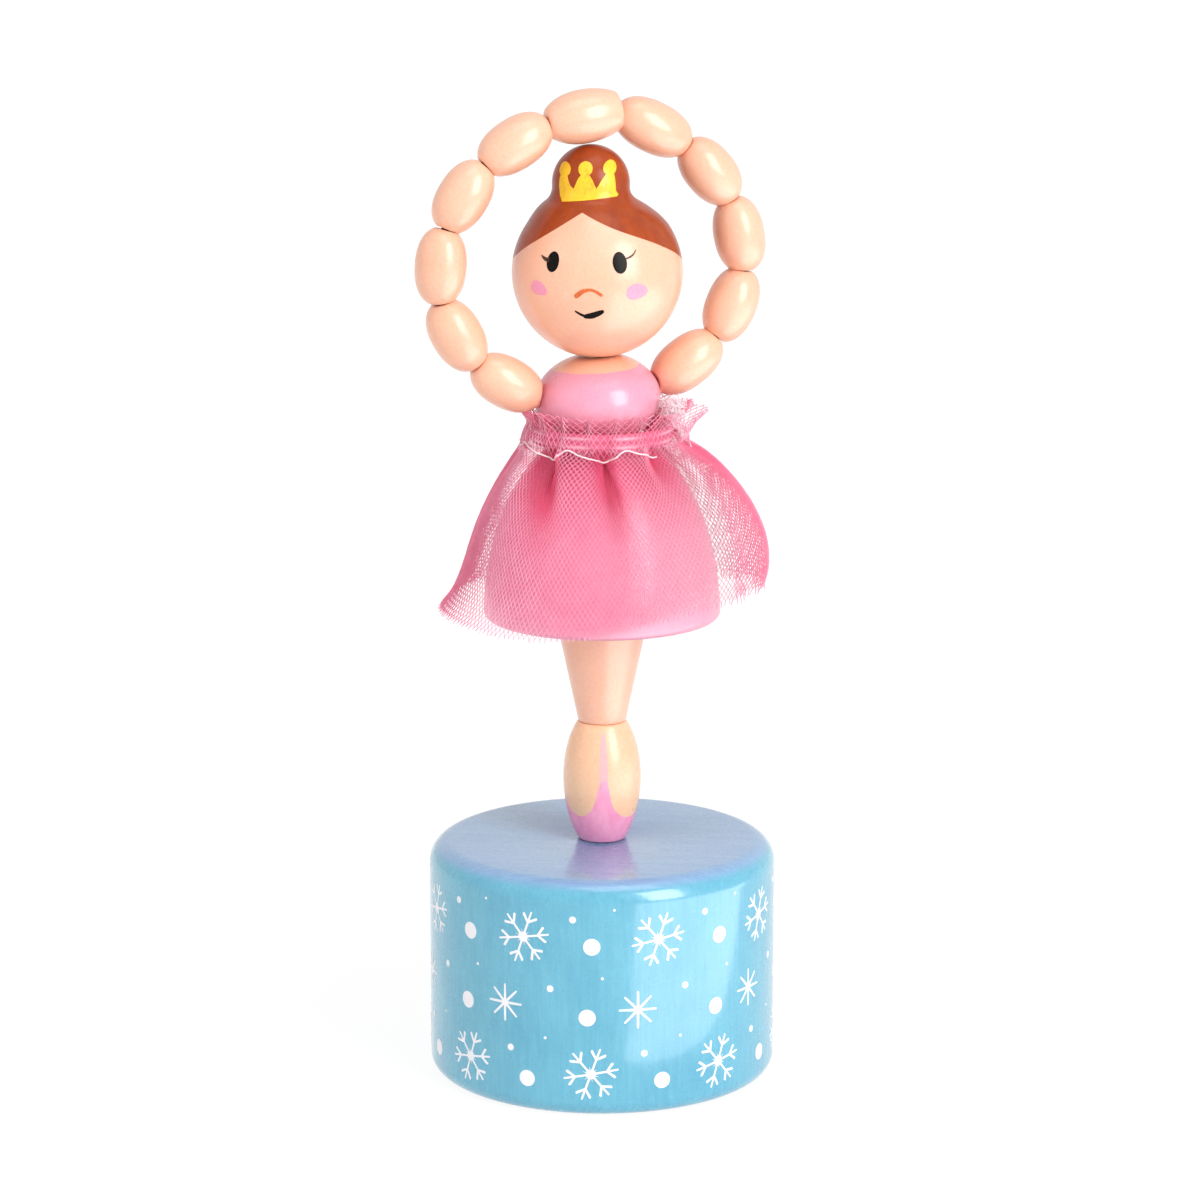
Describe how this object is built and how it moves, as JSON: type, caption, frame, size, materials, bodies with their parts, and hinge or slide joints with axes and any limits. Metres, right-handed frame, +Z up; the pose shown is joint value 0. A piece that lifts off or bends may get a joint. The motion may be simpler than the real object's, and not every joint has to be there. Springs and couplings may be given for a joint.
{
  "type": "push puppet",
  "caption": "Turned wooden dancer with arms of strung beads and a net skirt, held up by taut cords on a drum; pressing the sprung button below makes it fold.",
  "frame": {"origin": "centre of the drum's standing face, on the drum's axis", "axes": "+Z up along the drum's axis, -Y to the figure's front, +X along the shoulders to the viewer's right as one faces the figure's front"},
  "size_m": [0.0523, 0.05, 0.143],
  "materials": {
    "turquoise_lacquer": "gloss lacquer on turned wood with white painted motifs",
    "skin_lacquer": "gloss peach lacquer on turned wood",
    "pink_lacquer": "satin pink lacquer on turned wood",
    "bare_wood": "sanded beech",
    "black_cord": "braided cord",
    "spring_steel": "bright wire",
    "elastic_band": "woven elastic",
    "pink_net": "soft net"
  },
  "bodies": {
    "drum_body": {"drum": "turquoise_lacquer"},
    "button_body": {"push_button": "bare_wood", "cord_knot": "black_cord", "return_spring": "spring_steel", "drum_cords": "black_cord"},
    "foot_body": {"foot_bead": "skin_lacquer", "foot_cords": "black_cord"},
    "leg_body": {"leg": "skin_lacquer", "leg_cords": "black_cord"},
    "skirt_body": {"skirt_bell": "pink_lacquer", "skirt_cords": "black_cord", "waist_elastic": "elastic_band", "net_skirt": "pink_net"},
    "torso_body": {"torso": "pink_lacquer", "torso_cords": "black_cord"},
    "head_body": {"head": "skin_lacquer", "head_plug": "bare_wood", "head_cord": "black_cord"},
    "left_arm_1": {"left_arm_bead_1": "skin_lacquer", "left_arm_cord_1": "black_cord"},
    "left_arm_2": {"left_arm_bead_2": "skin_lacquer", "left_arm_cord_2": "black_cord"},
    "left_arm_3": {"left_arm_bead_3": "skin_lacquer", "left_arm_cord_3": "black_cord"},
    "left_arm_4": {"left_arm_bead_4": "skin_lacquer", "left_arm_cord_4": "black_cord"},
    "left_arm_5": {"left_arm_bead_5": "skin_lacquer", "left_arm_cord_5": "black_cord"},
    "right_arm_1": {"right_arm_bead_1": "skin_lacquer", "right_arm_cord_1": "black_cord"},
    "right_arm_2": {"right_arm_bead_2": "skin_lacquer", "right_arm_cord_2": "black_cord"},
    "right_arm_3": {"right_arm_bead_3": "skin_lacquer", "right_arm_cord_3": "black_cord"},
    "right_arm_4": {"right_arm_bead_4": "skin_lacquer", "right_arm_cord_4": "black_cord"},
    "right_arm_5": {"right_arm_bead_5": "skin_lacquer", "right_arm_cord_5": "black_cord"},
    "hands_body": {"hands_bead": "skin_lacquer", "hands_cord": "black_cord"}
  },
  "joints": [
    {"name": "button_press", "type": "slide", "parent": "drum_body", "child": "button_body", "axis": [0, 0, 1], "range_m": [0, 0.009], "stiffness_N_per_m": 600, "springref_m": -0.009, "deforming": ["return_spring", "drum_cords"]},
    {"name": "ankle", "type": "hinge", "parent": "drum_body", "child": "foot_body", "pos_m": [0, -0.0036, 0.0343], "axis": [1, 0, 0], "range_deg": [0, 16]},
    {"name": "knee", "type": "hinge", "parent": "foot_body", "child": "leg_body", "pos_m": [0, -0.0035, 0.05185], "axis": [1, 0, 0], "range_deg": [0, 26]},
    {"name": "hip", "type": "hinge", "parent": "leg_body", "child": "skirt_body", "pos_m": [0, -0.0067, 0.0672], "axis": [1, 0, 0], "range_deg": [0, 32]},
    {"name": "waist", "type": "hinge", "parent": "skirt_body", "child": "torso_body", "pos_m": [0, -0.0045, 0.09315], "axis": [1, 0, 0], "range_deg": [0, 14]},
    {"name": "neck", "type": "hinge", "parent": "torso_body", "child": "head_body", "pos_m": [-0.00069, -0.003, 0.10532], "axis": [1, 0, 0], "range_deg": [0, 22]},
    {"name": "left_shoulder", "type": "hinge", "parent": "torso_body", "child": "left_arm_1", "pos_m": [-0.00956, 0, 0.09931], "axis": [0.9982, 0, 0.0593], "range_deg": [0, 45]},
    {"name": "left_arm_joint_2", "type": "hinge", "parent": "left_arm_1", "child": "left_arm_2", "pos_m": [-0.01869, -0.001, 0.10455], "axis": [0.9982, 0, 0.0593], "range_deg": [0, 5]},
    {"name": "left_arm_joint_3", "type": "hinge", "parent": "left_arm_2", "child": "left_arm_3", "pos_m": [-0.02411, -0.001, 0.11364], "axis": [0.9982, 0, 0.0593], "range_deg": [0, 5]},
    {"name": "left_arm_joint_4", "type": "hinge", "parent": "left_arm_3", "child": "left_arm_4", "pos_m": [-0.02327, -0.001, 0.12418], "axis": [0.9982, 0, 0.0593], "range_deg": [0, 5]},
    {"name": "left_arm_joint_5", "type": "hinge", "parent": "left_arm_4", "child": "left_arm_5", "pos_m": [-0.01743, -0.001, 0.13287], "axis": [0.9982, 0, 0.0593], "range_deg": [0, 5]},
    {"name": "right_shoulder", "type": "hinge", "parent": "torso_body", "child": "right_arm_1", "pos_m": [0.0088, 0, 0.1004], "axis": [0.9982, 0, 0.0593], "range_deg": [0, 45]},
    {"name": "right_arm_joint_2", "type": "hinge", "parent": "right_arm_1", "child": "right_arm_2", "pos_m": [0.01725, -0.001, 0.10668], "axis": [0.9982, 0, 0.0593], "range_deg": [0, 5]},
    {"name": "right_arm_joint_3", "type": "hinge", "parent": "right_arm_2", "child": "right_arm_3", "pos_m": [0.02155, -0.001, 0.11635], "axis": [0.9982, 0, 0.0593], "range_deg": [0, 5]},
    {"name": "right_arm_joint_4", "type": "hinge", "parent": "right_arm_3", "child": "right_arm_4", "pos_m": [0.01947, -0.001, 0.12672], "axis": [0.9982, 0, 0.0593], "range_deg": [0, 5]},
    {"name": "right_arm_joint_5", "type": "hinge", "parent": "right_arm_4", "child": "right_arm_5", "pos_m": [0.01264, -0.001, 0.13466], "axis": [0.9982, 0, 0.0593], "range_deg": [0, 5]},
    {"name": "hands_joint", "type": "hinge", "parent": "left_arm_5", "child": "hands_body", "pos_m": [-0.00863, -0.001, 0.13853], "axis": [0.9982, 0, 0.0593], "range_deg": [0, 5]}
  ],
  "couplings": [
    {"joint": "ankle", "follows": "button_press", "rad_per_m": 31.028},
    {"joint": "knee", "follows": "button_press", "rad_per_m": 50.42},
    {"joint": "hip", "follows": "button_press", "rad_per_m": 62.056},
    {"joint": "waist", "follows": "button_press", "rad_per_m": 27.149},
    {"joint": "neck", "follows": "button_press", "rad_per_m": 42.663},
    {"joint": "left_shoulder", "follows": "button_press", "rad_per_m": 87.266},
    {"joint": "left_arm_joint_2", "follows": "button_press", "rad_per_m": 9.696},
    {"joint": "left_arm_joint_3", "follows": "button_press", "rad_per_m": 9.696},
    {"joint": "left_arm_joint_4", "follows": "button_press", "rad_per_m": 9.696},
    {"joint": "left_arm_joint_5", "follows": "button_press", "rad_per_m": 9.696},
    {"joint": "right_shoulder", "follows": "button_press", "rad_per_m": 87.266},
    {"joint": "right_arm_joint_2", "follows": "button_press", "rad_per_m": 9.696},
    {"joint": "right_arm_joint_3", "follows": "button_press", "rad_per_m": 9.696},
    {"joint": "right_arm_joint_4", "follows": "button_press", "rad_per_m": 9.696},
    {"joint": "right_arm_joint_5", "follows": "button_press", "rad_per_m": 9.696},
    {"joint": "hands_joint", "follows": "button_press", "rad_per_m": 9.696}
  ]
}
